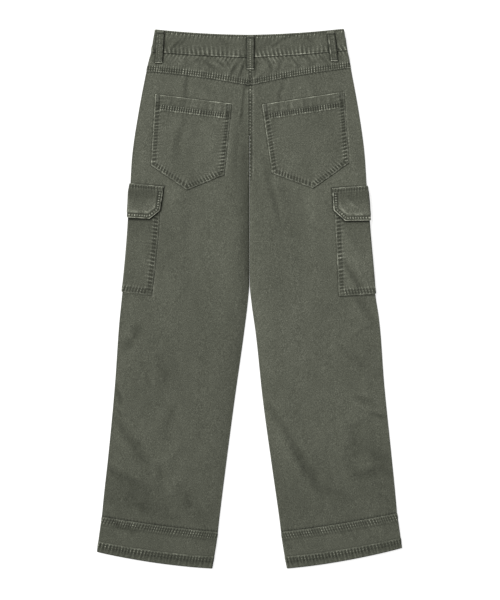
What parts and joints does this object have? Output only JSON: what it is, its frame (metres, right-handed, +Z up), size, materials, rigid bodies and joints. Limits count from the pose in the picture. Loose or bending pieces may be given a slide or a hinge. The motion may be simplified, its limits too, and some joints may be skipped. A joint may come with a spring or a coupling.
{
  "type": "cargo trousers",
  "caption": "Wide-legged cotton cargo trousers laid flat on their front, with patch pockets on the seat, flapped pockets wrapped round the thighs and banded hems.",
  "frame": {"origin": "on the surface under the trousers, at the middle of their outline", "axes": "+X towards the wearer's right leg, +Y towards the waist, +Z up through the back of the trousers"},
  "size_m": [0.5886, 1.0404, 0.0137],
  "materials": {
    "twill": "washed matt cotton twill, grey green",
    "zip_tape": "woven tape, matt",
    "button_metal": "aged metal, satin"
  },
  "bodies": {
    "root": {"waistband_back": "twill", "waistband_front_left": "twill", "waistband_front_right": "twill", "yoke_left": "twill", "yoke_right": "twill", "back_left": "twill", "back_right": "twill", "front_left": "twill", "front_right": "twill", "back_pocket_left": "twill", "back_pocket_right": "twill", "cargo_pocket_left": "twill", "cargo_pocket_right": "twill", "cargo_flap_left": "twill", "cargo_flap_right": "twill", "hem_band_back_left": "twill", "hem_band_back_right": "twill", "hem_band_front_left": "twill", "hem_band_front_right": "twill", "belt_loop_back_left": "twill", "belt_loop_back_centre": "twill", "belt_loop_back_right": "twill", "belt_loop_front_left": "twill", "belt_loop_front_right": "twill", "fly": "twill", "zip": "zip_tape", "waist_button": "button_metal"}
  },
  "joints": []
}
